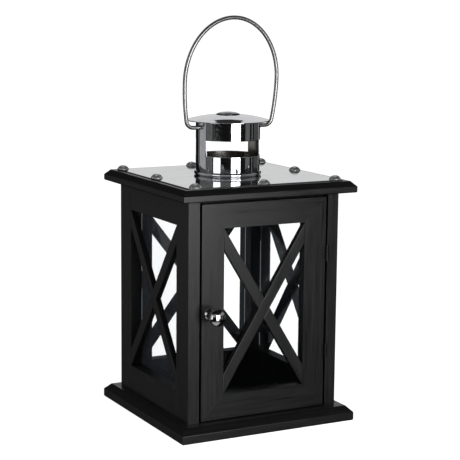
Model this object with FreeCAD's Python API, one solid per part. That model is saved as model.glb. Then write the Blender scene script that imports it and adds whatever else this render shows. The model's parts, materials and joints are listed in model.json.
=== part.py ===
import FreeCAD, Part
import math
import os

# Small wooden candle lantern: closed box of four glazed faces with a hinged front door,
# a steel topped roof board, a vented chimney and a swinging wire handle.
# Millimetres. +Z is up, the door faces -Y, the origin is the centre of the underside.

os.makedirs("parts", exist_ok=True)
V = FreeCAD.Vector

# ---- main sizes ---------------------------------------------------------------
BODY_X = 70.0            # half width of the body
BODY_Y = 67.5            # half depth of the body
BASE_BOARD = 81.3        # half width of the square base board
ROOF_BOARD = 80.4        # half width of the square roof board
BASE_T = 12.5            # base board thickness
BASE_CHAMFER = 5.3
ROOF_Z = 196.6           # underside of the roof board
ROOF_T = 9.6
ROOF_CHAMFER = 4.4
EDGE_EASE = 1.2          # rounding along the lower edge of both boards

# ---- body frame ---------------------------------------------------------------
WALL_T = 10.0            # thickness of rails, front posts and door frame
FRONT_POST_D = 22.2      # front post, front to back
REAR_POST = 21.6         # square rear posts
SIDE_Z0 = 35.4           # top of the bottom rails
SIDE_Z1 = 174.1          # bottom of the top rails
TENON_L = 5.0
TENON_T = 4.0
TENON_MARGIN = 4.0
BAR_W = 9.0              # crossed bars
BAR_T = 5.0
HEADER_T = 8.0
ROOF_SCREW_INSET = 5.5
HEADER_Z0 = 179.0

# ---- glass --------------------------------------------------------------------
GLASS_T = 2.0
GROOVE_DEPTH = 2.0
GROOVE_GAP = 0.15        # clearance on each side of a pane in its groove
PANE_SIDE_Y0 = -49.0
PANE_EDGE_GAP = 0.2

# ---- door ---------------------------------------------------------------------
DOOR_X = 58.0            # half width
DOOR_Z0 = 13.3
DOOR_Z1 = 192.7
DOOR_FRAME_W = 20.3
DOOR_LIP_T = 6.0         # front part of the frame, in front of the glass
DOOR_REBATE = 5.0        # width of the step that holds the glass
BEAD_W = 4.6
FRONT = -BODY_Y          # plane of the door face
STOP_GAP = 0.3           # closed door to header

# ---- knob ---------------------------------------------------------------------
KNOB_X = -51.5
KNOB_Z = 102.9
KNOB_R = 7.1             # flattened ball, across
KNOB_FACE_R = 9.5        # curvature of its front and back
KNOB_EDGE_R = 3.3        # curvature of its rim
KNOB_REACH = 16.0        # face of the door to centre of the ball
KNOB_ROSE_R = 4.3
KNOB_NECK_R = 2.7
KNOB_SCREW_R = 1.5
KNOB_BORE = 7.0          # depth of the screw hole in the knob

# ---- hinges -------------------------------------------------------------------
HINGE_X = 59.0           # axis of the pins, in the gap between door and post
HINGE_Y = -68.7
HINGE_ZS = (60.8, 145.2)
HINGE_H = 13.0
KNUCKLE_R = 1.4
KNUCKLE_H = 4.2          # the middle knuckle, on the door leaf
KNUCKLE_GAP = 0.2
PIN_R = 0.55
PIN_RUNNING = 0.05
LEAF_T = 0.7
LEAF_Y1 = -59.3
LEAF_CLEAR_Y = -67.15    # leaf edge beside the other leaf's knuckles
LEAF_SCREW_Y = -62.6
LEAF_SCREW_DZ = 3.6

# ---- catch --------------------------------------------------------------------
CATCH_X = -24.0
CATCH_Z = 185.6
MAGNET_R = 4.0
MAGNET_T = 4.0
STRIKE_W = 12.0
STRIKE_H = 10.0
STRIKE_T = 0.8

# ---- roof metalwork -----------------------------------------------------------
PLATE = 71.4             # half width of the steel plate
PLATE_T = 0.8
NAILS = [(-68.0, 67.0), (-66.5, 0.5), (-64.2, -67.0), (-1.2, 67.0),   # driven by hand,
         (-1.5, -67.0), (66.5, -67.0), (66.5, 0.0), (69.3, 67.0)]     # so a little uneven
NAIL_R = 5.1
NAIL_H = 3.6
NAIL_SHANK_R = 0.8
NAIL_SHANK_L = 8.0

TUBE_R = 27.4
TUBE_T = 0.8
BEAD_OUT = 1.4           # rolled bead round the foot of the chimney
BEAD_H = 3.8
VENT_Z0 = 224.2
VENT_Z1 = 237.4
PILLAR_HALF_DEG = 21.3   # half angle of the two pillars left between the vents
CAP_R = 35.3
CAP_TOP_Z = 258.6
CAP_RISE = 5.0
CAP_T = 0.8
BUTTON_R = 10.2
BUTTON_TOP_Z = 260.5
BOLT_R = 2.5
STRAP_W = 12.0
STRAP_T = 1.2
STRAP_TOP_Z = 251.4
STRAP_LEG_Z = 241.5
STRAP_REACH = 25.8
NUT_AF = 8.0
NUT_T = 4.0

# ---- handle -------------------------------------------------------------------
PIVOT_Z = 247.8
WIRE_R = 1.7
BAIL_RUNNING = 0.06
BAIL_HALF_W = 43.8       # widest half width of the wire centreline
BAIL_WIDE_H = 39.5       # height of the widest place above the pivot
BAIL_TOP_H = 92.3
BAIL_LEG_R = 200.0
BAIL_BEND_R = 6.5
BAIL_LEAN = 4.5          # degrees towards the door at rest
BAIL_HEAD_R = 2.7
BAIL_HEAD_T = 1.3
BAIL_HEAD_X = 25.0         # outer face of each head, which leaves some end play
BAIL_SHIFT = 1.3           # the handle rests towards one end of that play

ROOF_TOP = ROOF_Z + ROOF_T
PLATE_TOP = ROOF_TOP + PLATE_T


# ---- helpers ------------------------------------------------------------------
def box(x0, x1, y0, y1, z0, z1):
    return Part.makeBox(x1 - x0, y1 - y0, z1 - z0, V(x0, y0, z0))


def rod(centre, direction, radius, length):
    return Part.makeCylinder(radius, length, V(*centre), V(*direction))


def mirror_x(shape):
    return shape.mirror(V(0, 0, 0), V(1, 0, 0))


def prism(points, plane, start, depth):
    """Extrude a closed (u, z) outline along Y (plane "xz") or along X (plane "yz")."""
    if plane == "xz":
        ring = [V(u, start, z) for u, z in points]
        step = V(0, depth, 0)
    else:
        ring = [V(start, u, z) for u, z in points]
        step = V(depth, 0, 0)
    return Part.Face(Part.makePolygon(ring + [ring[0]])).extrude(step)


def cross_slot(head_point, direction, head_r):
    """Cutter for the driver's cross in a screw head."""
    reach, half, depth = 0.6 * head_r, 0.14 * head_r, 0.35 * head_r
    cross = box(-reach, reach, -half, half, -0.1, depth)
    cross = cross.fuse(box(-half, half, -reach, reach, -0.1, depth))
    turn = FreeCAD.Rotation(V(0, 0, 1), V(*direction))
    cross.Placement = FreeCAD.Placement(V(*head_point), turn)
    return cross


def countersunk(head_point, direction, head_r, shank_r, length, cross=False):
    """Countersunk wood screw with its flat head at head_point."""
    head_h = head_r - shank_r
    d = V(*direction)
    head = Part.makeCone(head_r, shank_r, head_h, V(*head_point), d)
    screw = head.fuse(Part.makeCylinder(shank_r, length, V(*head_point), d))
    return screw.cut(cross_slot(head_point, direction, head_r)) if cross else screw


def save(name, *solids):
    shape = solids[0] if len(solids) == 1 else Part.makeCompound(list(solids))
    shape.exportStep("parts/" + name + ".step")


def cut_all(shape, tools):
    for tool in tools:
        shape = shape.cut(tool)
    return shape


# ---- boards -------------------------------------------------------------------
def board(half, z0, thickness, chamfer):
    blank = box(-half, half, -half, half, z0, z0 + thickness)
    top = [e for e in blank.Edges if e.BoundBox.ZMin > z0 + thickness - 0.01]
    blank = blank.makeChamfer(chamfer, top)
    low = [e for e in blank.Edges if e.BoundBox.ZMax < z0 + 0.01]
    return blank.makeFillet(EDGE_EASE, low)


def groove_cutters(z0, z1):
    """Slots that hold the three fixed panes, between the two heights."""
    g = GROOVE_GAP
    inner = BODY_X - WALL_T
    side = box(-inner - g, -inner + GLASS_T + g, PANE_SIDE_Y0 - g,
               BODY_Y - REAR_POST, z0, z1)
    back_y = BODY_Y - WALL_T
    half = BODY_X - REAR_POST
    back = box(-half, half, back_y - GLASS_T - g, back_y + g, z0, z1)
    return [side, mirror_x(side), back]


def post_centres():
    front_x = BODY_X - WALL_T / 2
    front_y = -BODY_Y + FRONT_POST_D / 2
    rear_x = BODY_X - REAR_POST / 2
    rear_y = BODY_Y - REAR_POST / 2
    return [(-front_x, front_y), (front_x, front_y), (-rear_x, rear_y), (rear_x, rear_y)]


def base_screws(cross=False):
    return [countersunk((x, y, 0.4), (0, 0, 1), 3.6, 1.75, 34.0, cross)
            for x, y in post_centres()]


def roof_screw_points():
    """Front ones sit near the face, clear of the tenons in the top of the front posts."""
    near = -BODY_Y + ROOF_SCREW_INSET
    return [(x, near if y < 0 else y) for x, y in post_centres()]


def roof_screws(cross=False):
    top = ROOF_TOP - 0.2
    return [countersunk((x, y, top), (0, 0, -1), 3.6, 1.75, 32.0, cross)
            for x, y in roof_screw_points()]


def nail(x, y):
    """Dome headed nail: a spherical cap on a straight shank."""
    sphere_r = (NAIL_R ** 2 + NAIL_H ** 2) / (2 * NAIL_H)
    ball = Part.makeSphere(sphere_r, V(x, y, PLATE_TOP + NAIL_H - sphere_r))
    keep = rod((x, y, PLATE_TOP), (0, 0, 1), NAIL_R + 1, NAIL_H + 1)
    shank = rod((x, y, PLATE_TOP - NAIL_SHANK_L), (0, 0, 1), NAIL_SHANK_R, NAIL_SHANK_L + 1)
    return ball.common(keep).fuse(shank)


def nail_holes():
    z = PLATE_TOP - NAIL_SHANK_L
    return [rod((x, y, z), (0, 0, 1), NAIL_SHANK_R, NAIL_SHANK_L + 1) for x, y in NAILS]


def make_boards():
    base = board(BASE_BOARD, 0, BASE_T, BASE_CHAMFER)
    base = cut_all(base, groove_cutters(BASE_T - GROOVE_DEPTH, BASE_T + 1))
    mouths = [rod((x, y, -1), (0, 0, 1), 3.6, 1.4) for x, y in post_centres()]
    save("base_board", cut_all(base, base_screws() + mouths))

    roof = board(ROOF_BOARD, ROOF_Z, ROOF_T, ROOF_CHAMFER)
    roof = cut_all(roof, groove_cutters(ROOF_Z - 1, ROOF_Z + GROOVE_DEPTH))
    roof = roof.cut(rod((0, 0, ROOF_Z - 1), (0, 0, 1), TUBE_R, ROOF_T + 2))
    mouths = [rod((x, y, ROOF_TOP - 0.2), (0, 0, 1), 3.6, 1) for x, y in roof_screw_points()]
    save("roof_board", cut_all(roof, roof_screws() + mouths + nail_holes()))

    plate = box(-PLATE, PLATE, -PLATE, PLATE, ROOF_TOP, PLATE_TOP)
    plate = plate.cut(rod((0, 0, ROOF_TOP - 1), (0, 0, 1), TUBE_R, PLATE_T + 2))
    save("roof_plate", cut_all(plate, nail_holes()))
    save("roof_nails", *[nail(x, y) for x, y in NAILS])
    save("base_screws", *base_screws(cross=True))
    save("roof_screws", *roof_screws(cross=True))


# ---- body frame ---------------------------------------------------------------
def rail_block(z0, z1):
    """Left side rail with a stub tenon at each end."""
    y0 = -BODY_Y + FRONT_POST_D
    y1 = BODY_Y - REAR_POST
    rail = box(-BODY_X, -BODY_X + WALL_T, y0, y1, z0, z1)
    mid = -BODY_X + WALL_T / 2
    tenon = box(mid - TENON_T / 2, mid + TENON_T / 2, y0 - TENON_L, y1 + TENON_L,
                z0 + TENON_MARGIN, z1 - TENON_MARGIN)
    return rail.fuse(tenon).removeSplitter()


def back_rail_block(z0, z1):
    half = BODY_X - REAR_POST
    rail = box(-half, half, BODY_Y - WALL_T, BODY_Y, z0, z1)
    mid = BODY_Y - WALL_T / 2
    tenon = box(-half - TENON_L, half + TENON_L, mid - TENON_T / 2, mid + TENON_T / 2,
                z0 + TENON_MARGIN, z1 - TENON_MARGIN)
    return rail.fuse(tenon).removeSplitter()


def header_block():
    """Rail across the top behind the door; the closed door rests against it."""
    y0 = -BODY_Y + WALL_T + STOP_GAP
    inner = BODY_X - WALL_T
    rail = box(-inner, inner, y0, y0 + HEADER_T, HEADER_Z0, ROOF_Z)
    tenon = box(-inner - TENON_L, inner + TENON_L, y0 + 2, y0 + HEADER_T - 2,
                HEADER_Z0 + TENON_MARGIN, ROOF_Z - TENON_MARGIN)
    return rail.fuse(tenon).removeSplitter()


def magnet():
    y0 = -BODY_Y + WALL_T + STOP_GAP
    return rod((CATCH_X, y0, CATCH_Z), (0, 1, 0), MAGNET_R, MAGNET_T)


def hinge_screw(z, side, cross):
    """Leaf screw; side -1 goes into the door edge, +1 into the post."""
    face = HINGE_X + side * (1.0 - LEAF_T)
    return countersunk((face, LEAF_SCREW_Y, z), (side, 0, 0), 1.35, 0.8, 6.5, cross)


def hinge_screws(side, cross=False):
    return [hinge_screw(zc + dz, side, cross)
            for zc in HINGE_ZS for dz in (-LEAF_SCREW_DZ, LEAF_SCREW_DZ)]


def make_frame():
    low = rail_block(BASE_T, SIDE_Z0)
    high = rail_block(SIDE_Z1, ROOF_Z)
    back_low = back_rail_block(BASE_T, SIDE_Z0)
    back_high = back_rail_block(SIDE_Z1, ROOF_Z)
    header = header_block()
    rails = [low, high, mirror_x(low), mirror_x(high), back_low, back_high, header]
    names = ["left_bottom_rail", "left_top_rail", "right_bottom_rail", "right_top_rail",
             "back_bottom_rail", "back_top_rail"]
    for name, rail in zip(names, rails):
        save(name, rail)
    save("header_rail", header.cut(magnet()))
    save("catch_magnet", magnet())

    front = box(-BODY_X, -BODY_X + WALL_T, -BODY_Y, -BODY_Y + FRONT_POST_D, BASE_T, ROOF_Z)
    rear = box(-BODY_X, -BODY_X + REAR_POST, BODY_Y - REAR_POST, BODY_Y, BASE_T, ROOF_Z)
    cutters = rails + base_screws() + roof_screws()
    save("front_left_post", cut_all(front, cutters))
    save("front_right_post", cut_all(mirror_x(front), cutters + hinge_screws(1)))
    save("rear_left_post", cut_all(rear, cutters))
    save("rear_right_post", cut_all(mirror_x(rear), cutters))


# ---- crossed bars -------------------------------------------------------------
def bar_rise(width, height):
    """Height of a bar's upright end so that its outer edge runs corner to corner."""
    end = BAR_W
    for _ in range(30):
        angle = math.atan2(height - end, width)
        end = BAR_W / math.cos(angle)
    return end


def cross_bars(u0, u1, z0, z1, plane, outer, inward):
    """Two half-lapped bars; inward is the signed bar thickness from the outer face."""
    e = bar_rise(u1 - u0, z1 - z0)
    rising = [(u0, z0), (u1, z1 - e), (u1, z1), (u0, z0 + e)]
    falling = [(u0, z1), (u0, z1 - e), (u1, z0), (u1, z0 + e)]
    up = prism(rising, plane, outer, inward)
    down = prism(falling, plane, outer, inward)
    lap_front = prism(rising, plane, outer, inward / 2).common(down)
    lap_back = prism(falling, plane, outer + inward / 2, inward / 2).common(up)
    return up.cut(lap_back), down.cut(lap_front)


def make_bars():
    y0 = -BODY_Y + FRONT_POST_D
    y1 = BODY_Y - REAR_POST
    up, down = cross_bars(y0, y1, SIDE_Z0, SIDE_Z1, "yz", -BODY_X, BAR_T)
    save("left_bar_rising", up)
    save("left_bar_falling", down)
    save("right_bar_rising", mirror_x(up))
    save("right_bar_falling", mirror_x(down))
    half = BODY_X - REAR_POST
    up, down = cross_bars(-half, half, SIDE_Z0, SIDE_Z1, "xz", BODY_Y, -BAR_T)
    save("back_bar_rising", up)
    save("back_bar_falling", down)


# ---- fixed glass --------------------------------------------------------------
def make_panes():
    inner = BODY_X - WALL_T
    z0 = BASE_T - GROOVE_DEPTH
    z1 = ROOF_Z + GROOVE_DEPTH - PANE_EDGE_GAP
    left = box(-inner, -inner + GLASS_T, PANE_SIDE_Y0,
               BODY_Y - REAR_POST - PANE_EDGE_GAP, z0, z1)
    save("left_glass", left)
    save("right_glass", mirror_x(left))
    half = BODY_X - REAR_POST - PANE_EDGE_GAP
    y1 = BODY_Y - WALL_T
    save("back_glass", box(-half, half, y1 - GLASS_T, y1, z0, z1))


# ---- door ---------------------------------------------------------------------
def door_frame_members():
    """Four mitred members with a rebate behind the front lip."""
    x, w = DOOR_X, DOOR_FRAME_W
    z0, z1 = DOOR_Z0, DOOR_Z1
    rebate = box(-x + w - DOOR_REBATE, x - w + DOOR_REBATE, FRONT + DOOR_LIP_T, FRONT + WALL_T + 1,
                 z0 + w - DOOR_REBATE, z1 - w + DOOR_REBATE)
    left = [(-x, z0), (-x + w, z0 + w), (-x + w, z1 - w), (-x, z1)]
    top = [(-x, z1), (-x + w, z1 - w), (x - w, z1 - w), (x, z1)]
    bottom = [(-x, z0), (x, z0), (x - w, z0 + w), (-x + w, z0 + w)]
    members = [prism(ring, "xz", FRONT, WALL_T).cut(rebate) for ring in (left, top, bottom)]
    return members[0], mirror_x(members[0]), members[1], members[2]


def knob_profile():
    """Closed outline of the turned knob, radius against distance from the door face."""
    c = KNOB_REACH
    axis_gap = math.sqrt((KNOB_FACE_R - KNOB_EDGE_R) ** 2 - (KNOB_R - KNOB_EDGE_R) ** 2)
    lean = math.atan2(KNOB_R - KNOB_EDGE_R, axis_gap)

    def dome(angle, side):
        """Point on the front (+1) or back (-1) face, at an angle from the axis."""
        z = c + side * (KNOB_FACE_R * math.cos(angle) - axis_gap)
        return V(KNOB_FACE_R * math.sin(angle), 0, z)

    root = math.asin((KNOB_NECK_R + 0.5) / KNOB_FACE_R)
    waist = V(KNOB_NECK_R, 0, 5.0)
    rose = V(KNOB_ROSE_R, 0, 1.3)
    tip = dome(0, 1)
    edges = [Part.makeLine(V(0, 0, 0), V(KNOB_ROSE_R, 0, 0)),
             Part.makeLine(V(KNOB_ROSE_R, 0, 0), rose),
             Part.Arc(rose, V(KNOB_NECK_R + 0.5, 0, 2.8), waist).toShape(),
             Part.makeLine(waist, dome(root, -1)),
             Part.Arc(dome(root, -1), dome((root + lean) / 2, -1), dome(lean, -1)).toShape(),
             Part.Arc(dome(lean, -1), V(KNOB_R, 0, c), dome(lean, 1)).toShape(),
             Part.Arc(dome(lean, 1), dome(lean / 2, 1), tip).toShape(),
             Part.makeLine(tip, V(0, 0, 0))]
    return Part.Face(Part.Wire(Part.sortEdges(edges)[0]))


def knob():
    turned = knob_profile().revolve(V(0, 0, 0), V(0, 0, 1), 360)
    turned = turned.cut(rod((0, 0, -1), (0, 0, 1), KNOB_SCREW_R, KNOB_BORE + 1))
    turned.rotate(V(0, 0, 0), V(1, 0, 0), 90)
    turned.translate(V(KNOB_X, FRONT, KNOB_Z))
    return turned


def knob_screw(cross=False):
    head_point = (KNOB_X, FRONT + WALL_T - 0.2, KNOB_Z)
    head = rod(head_point, (0, -1, 0), 3.2, 1.8)
    neck = (KNOB_X, head_point[1] - 1.3, KNOB_Z)
    screw = head.fuse(rod(neck, (0, -1, 0), KNOB_SCREW_R, WALL_T + KNOB_BORE - 2))
    return screw.cut(cross_slot(head_point, (0, -1, 0), 3.0)) if cross else screw


def strike():
    rear = FRONT + WALL_T
    return box(CATCH_X - STRIKE_W / 2, CATCH_X + STRIKE_W / 2, rear - STRIKE_T, rear,
               CATCH_Z - STRIKE_H / 2, CATCH_Z + STRIKE_H / 2)


def strike_screw(cross=False):
    return countersunk((CATCH_X, FRONT + WALL_T, CATCH_Z), (0, -1, 0), 2.0, 1.2, 6.0, cross)


def make_door():
    left, right, top, bottom = door_frame_members()
    seat = rod((KNOB_X, FRONT + WALL_T + 1, KNOB_Z), (0, -1, 0), 3.2, 1.5)
    save("door_left_stile", cut_all(left, [knob_screw(), seat]))
    save("door_right_stile", cut_all(right, hinge_screws(-1)))
    save("door_top_rail", cut_all(top, [strike(), strike_screw()]))
    save("door_bottom_rail", bottom)

    x = DOOR_X - DOOR_FRAME_W
    z0 = DOOR_Z0 + DOOR_FRAME_W
    z1 = DOOR_Z1 - DOOR_FRAME_W
    up, down = cross_bars(-x, x, z0, z1, "xz", FRONT, BAR_T)
    save("door_bar_rising", up)
    save("door_bar_falling", down)

    r = DOOR_REBATE - PANE_EDGE_GAP
    y0 = FRONT + DOOR_LIP_T
    save("door_glass", box(-x - r, x + r, y0, y0 + GLASS_T, z0 - r, z1 + r))
    y0 += GLASS_T
    y1 = FRONT + WALL_T
    edge = DOOR_REBATE
    in_x = x + edge - BEAD_W
    in_z0 = z0 - edge + BEAD_W
    in_z1 = z1 + edge - BEAD_W
    save("door_bead_left", box(-x - edge, -in_x, y0, y1, z0 - edge, z1 + edge))
    save("door_bead_right", box(in_x, x + edge, y0, y1, z0 - edge, z1 + edge))
    save("door_bead_top", box(-in_x, in_x, y0, y1, in_z1, z1 + edge))
    save("door_bead_bottom", box(-in_x, in_x, y0, y1, z0 - edge, in_z0))

    save("door_knob", knob())
    save("knob_screw", knob_screw(cross=True))
    save("strike_plate", strike().cut(strike_screw()))
    save("strike_screw", strike_screw(cross=True))


# ---- hinges -------------------------------------------------------------------
def knuckle(z0, z1, bore):
    outer = rod((HINGE_X, HINGE_Y, z0), (0, 0, 1), KNUCKLE_R, z1 - z0)
    return outer.cut(rod((HINGE_X, HINGE_Y, z0 - 1), (0, 0, 1), bore, z1 - z0 + 2))


def leaf(side, zc, spans, bore):
    """Flat leaf on one side of the gap, joined to its own knuckles over the spans."""
    x_in = HINGE_X + side * (1.0 - LEAF_T)
    x_out = HINGE_X + side * 1.0
    x0, x1 = min(x_in, x_out), max(x_in, x_out)
    body = box(x0, x1, LEAF_CLEAR_Y, LEAF_Y1, zc - HINGE_H / 2, zc + HINGE_H / 2)
    for z0, z1 in spans:
        arm = box(x0, x1, HINGE_Y + 0.4, LEAF_CLEAR_Y, z0, z1)
        arm = arm.cut(rod((HINGE_X, HINGE_Y, z0 - 1), (0, 0, 1), bore, z1 - z0 + 2))
        body = body.fuse(arm).fuse(knuckle(z0, z1, bore))
    return body.removeSplitter()


def hinge_pin(zc):
    pin = rod((HINGE_X, HINGE_Y, zc - HINGE_H / 2), (0, 0, 1), PIN_R, HINGE_H)
    head = rod((HINGE_X, HINGE_Y, zc + HINGE_H / 2), (0, 0, 1), 1.0, 0.5)
    foot = rod((HINGE_X, HINGE_Y, zc - HINGE_H / 2), (0, 0, -1), 1.0, 0.5)
    return pin.fuse(head).fuse(foot)


def make_hinges():
    half = KNUCKLE_H / 2
    edge = HINGE_H / 2
    for name, zc in zip(("lower", "upper"), HINGE_ZS):
        outer_spans = [(zc - edge, zc - half - KNUCKLE_GAP), (zc + half + KNUCKLE_GAP, zc + edge)]
        post = leaf(1, zc, outer_spans, PIN_R)
        door = leaf(-1, zc, [(zc - half, zc + half)], PIN_R + PIN_RUNNING)
        save(name + "_hinge_post_leaf", cut_all(post, hinge_screws(1)))
        save(name + "_hinge_door_leaf", cut_all(door, hinge_screws(-1)))
    save("hinge_pins", *[hinge_pin(zc) for zc in HINGE_ZS])
    save("hinge_post_screws", *hinge_screws(1, cross=True))
    save("hinge_door_screws", *hinge_screws(-1, cross=True))


# ---- chimney ------------------------------------------------------------------
def cap_sphere_r():
    return (CAP_R ** 2 + CAP_RISE ** 2) / (2 * CAP_RISE)


def cap_under_z(r):
    """Height of the cap's underside at radius r."""
    big = cap_sphere_r() - CAP_T
    centre = CAP_TOP_Z - cap_sphere_r()
    return centre + math.sqrt(big ** 2 - r ** 2)


def cap():
    big = cap_sphere_r()
    centre = V(0, 0, CAP_TOP_Z - big)
    shell = Part.makeSphere(big, centre).cut(Part.makeSphere(big - CAP_T, centre))
    keep = rod((0, 0, CAP_TOP_Z - CAP_RISE - CAP_T - 0.2), (0, 0, 1), CAP_R, 20)
    shell = shell.common(keep)
    return shell.cut(rod((0, 0, CAP_TOP_Z - 5), (0, 0, 1), BOLT_R, 10))


def vent_cutter(front):
    sweep = 180 - 2 * PILLAR_HALF_DEG
    wedge = Part.makeCylinder(TUBE_R + 5, VENT_Z1 - VENT_Z0, V(0, 0, VENT_Z0), V(0, 0, 1), sweep)
    start = PILLAR_HALF_DEG + (180 if front else 0)
    wedge.rotate(V(0, 0, 0), V(0, 0, 1), start)
    return wedge


def tube():
    top = cap_under_z(TUBE_R) - 0.02
    r_in = TUBE_R - TUBE_T
    wall = Part.makeCylinder(TUBE_R, top - ROOF_Z, V(0, 0, ROOF_Z))
    foot = V(TUBE_R - 0.2, 0, PLATE_TOP)
    head = V(TUBE_R - 0.2, 0, PLATE_TOP + BEAD_H)
    bulge = Part.Arc(foot, V(TUBE_R + BEAD_OUT, 0, PLATE_TOP + BEAD_H / 2), head).toShape()
    back = Part.makeLine(head, foot)
    bead = Part.Face(Part.Wire([bulge, back])).revolve(V(0, 0, 0), V(0, 0, 1), 360)
    wall = wall.fuse(bead)
    wall = wall.cut(Part.makeCylinder(r_in, top - ROOF_Z + 2, V(0, 0, ROOF_Z - 1)))
    wall = cut_all(wall, [vent_cutter(True), vent_cutter(False)])
    return wall.cut(rod((-40, 0, PIVOT_Z), (1, 0, 0), WIRE_R + BAIL_RUNNING, 80))


def strap():
    half = STRAP_W / 2
    low = STRAP_TOP_Z - STRAP_T
    bridge = box(-half, half, -STRAP_REACH, STRAP_REACH, low, STRAP_TOP_Z)
    leg = box(-half, half, -STRAP_REACH, -STRAP_REACH + STRAP_T, STRAP_LEG_Z, low)
    other = box(-half, half, STRAP_REACH - STRAP_T, STRAP_REACH, STRAP_LEG_Z, low)
    body = bridge.fuse(leg).fuse(other).removeSplitter()
    return body.cut(rod((0, 0, low - 1), (0, 0, 1), BOLT_R, STRAP_T + 2))


def button():
    """Low oval dome with the bolt that pulls the cap down on the strap."""
    big = cap_sphere_r()
    seat = CAP_TOP_Z - big + math.sqrt(big ** 2 - BUTTON_R ** 2)
    base = V(0, 0, CAP_TOP_Z - 0.6)
    rim, tip = V(BUTTON_R, 0, seat), V(0, 0, BUTTON_TOP_Z)
    oval = Part.Ellipse(rim, tip, V(0, 0, seat))
    edges = [Part.makeLine(base, V(BUTTON_R, 0, base.z)),
             Part.makeLine(V(BUTTON_R, 0, base.z), rim),
             Part.ArcOfEllipse(oval, 0, math.pi / 2).toShape(),
             Part.makeLine(tip, base)]
    outline = Part.Face(Part.Wire(Part.sortEdges(edges)[0]))
    dome = outline.revolve(V(0, 0, 0), V(0, 0, 1), 360).cut(cap())
    low = STRAP_TOP_Z - STRAP_T - NUT_T - 1.0
    return dome.fuse(rod((0, 0, low), (0, 0, 1), BOLT_R, CAP_TOP_Z - low + 0.5)).removeSplitter()


def nut():
    ring = []
    for k in range(6):
        a = math.radians(60 * k + 30)
        r = NUT_AF / 2 / math.cos(math.radians(30))
        ring.append(V(r * math.cos(a), r * math.sin(a), STRAP_TOP_Z - STRAP_T - NUT_T))
    body = Part.Face(Part.makePolygon(ring + [ring[0]])).extrude(V(0, 0, NUT_T))
    return body.cut(rod((0, 0, ring[0].z - 1), (0, 0, 1), BOLT_R, NUT_T + 2))


def make_chimney():
    save("chimney_tube", tube())
    save("chimney_cap", cap())
    save("cap_strap", strap())
    save("cap_button", button())
    save("cap_nut", nut())


# ---- handle -------------------------------------------------------------------
def bail_path():
    """Centreline of the wire, upright in the XZ plane, pivot at height PIVOT_Z."""
    wide = V(BAIL_HALF_W, 0, PIVOT_Z + BAIL_WIDE_H)
    leg_centre = wide - V(BAIL_LEG_R, 0, 0)
    lean = 0.2
    for _ in range(30):
        rise = BAIL_BEND_R * (1 - math.sin(lean))
        lean = math.asin((BAIL_WIDE_H - rise) / BAIL_LEG_R)
    leg_foot = leg_centre + V(math.cos(lean), 0, -math.sin(lean)) * BAIL_LEG_R
    leg_mid = leg_centre + V(math.cos(lean / 2), 0, -math.sin(lean / 2)) * BAIL_LEG_R
    bend_centre = leg_foot - V(math.cos(lean), 0, -math.sin(lean)) * BAIL_BEND_R
    turn = math.pi / 2 - lean
    half_turn = turn / 2
    bend_foot = bend_centre - V(0, 0, BAIL_BEND_R)
    bend_mid = bend_centre + V(math.sin(half_turn), 0, -math.cos(half_turn)) * BAIL_BEND_R
    inner = V(BAIL_HEAD_X - 0.5, 0, PIVOT_Z)

    right = [Part.makeLine(inner, bend_foot),
             Part.Arc(bend_foot, bend_mid, leg_foot).toShape(),
             Part.Arc(leg_foot, leg_mid, wide).toShape()]
    centre = V(0, 0, PIVOT_Z + BAIL_WIDE_H)
    oval = Part.Ellipse(V(0, 0, PIVOT_Z + BAIL_TOP_H), V(BAIL_HALF_W, 0, centre.z), centre)
    top = Part.ArcOfEllipse(oval, -math.pi / 2, math.pi / 2).toShape()
    left = [e.mirror(V(0, 0, 0), V(1, 0, 0)) for e in right]
    return Part.Wire(Part.sortEdges(right + [top] + left)[0]), inner


def make_bail():
    path, inner = bail_path()
    ring = Part.Wire(Part.makeCircle(WIRE_R, inner, V(1, 0, 0)))
    wire = path.makePipeShell([ring], True, False)
    head = rod((BAIL_HEAD_X, 0, PIVOT_Z), (-1, 0, 0), BAIL_HEAD_R, BAIL_HEAD_T)
    bail = wire.fuse(head).fuse(mirror_x(head))
    bail.translate(V(BAIL_SHIFT, 0, 0))
    bail.rotate(V(0, 0, PIVOT_Z), V(1, 0, 0), BAIL_LEAN)
    save("bail_handle", bail)


make_boards()
make_frame()
make_bars()
make_panes()
make_door()
make_hinges()
make_chimney()
make_bail()
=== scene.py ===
"""Looks of the candle lantern: finishes for the wooden frame, the glass and the metalwork."""
import json
import math
import bmesh
import bpy
from mathutils import Matrix, Vector


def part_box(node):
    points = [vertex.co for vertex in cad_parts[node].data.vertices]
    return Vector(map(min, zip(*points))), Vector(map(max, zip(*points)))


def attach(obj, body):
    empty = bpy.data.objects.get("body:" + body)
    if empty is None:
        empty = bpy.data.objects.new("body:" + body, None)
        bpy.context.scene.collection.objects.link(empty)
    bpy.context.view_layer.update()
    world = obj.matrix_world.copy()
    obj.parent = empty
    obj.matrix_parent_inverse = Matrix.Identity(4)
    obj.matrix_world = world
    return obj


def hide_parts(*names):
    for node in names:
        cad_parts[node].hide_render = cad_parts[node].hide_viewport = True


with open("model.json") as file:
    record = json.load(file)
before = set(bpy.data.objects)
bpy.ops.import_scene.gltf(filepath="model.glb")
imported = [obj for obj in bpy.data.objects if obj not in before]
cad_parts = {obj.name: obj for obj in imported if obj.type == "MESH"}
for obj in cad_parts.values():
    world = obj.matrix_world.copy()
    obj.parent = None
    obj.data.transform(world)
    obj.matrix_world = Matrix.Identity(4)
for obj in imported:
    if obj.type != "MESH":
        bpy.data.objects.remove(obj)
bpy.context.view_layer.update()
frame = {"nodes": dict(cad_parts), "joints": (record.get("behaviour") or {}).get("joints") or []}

MM = 0.001
UP = Vector((0, 0, 1))
NODES = frame["nodes"]

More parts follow.
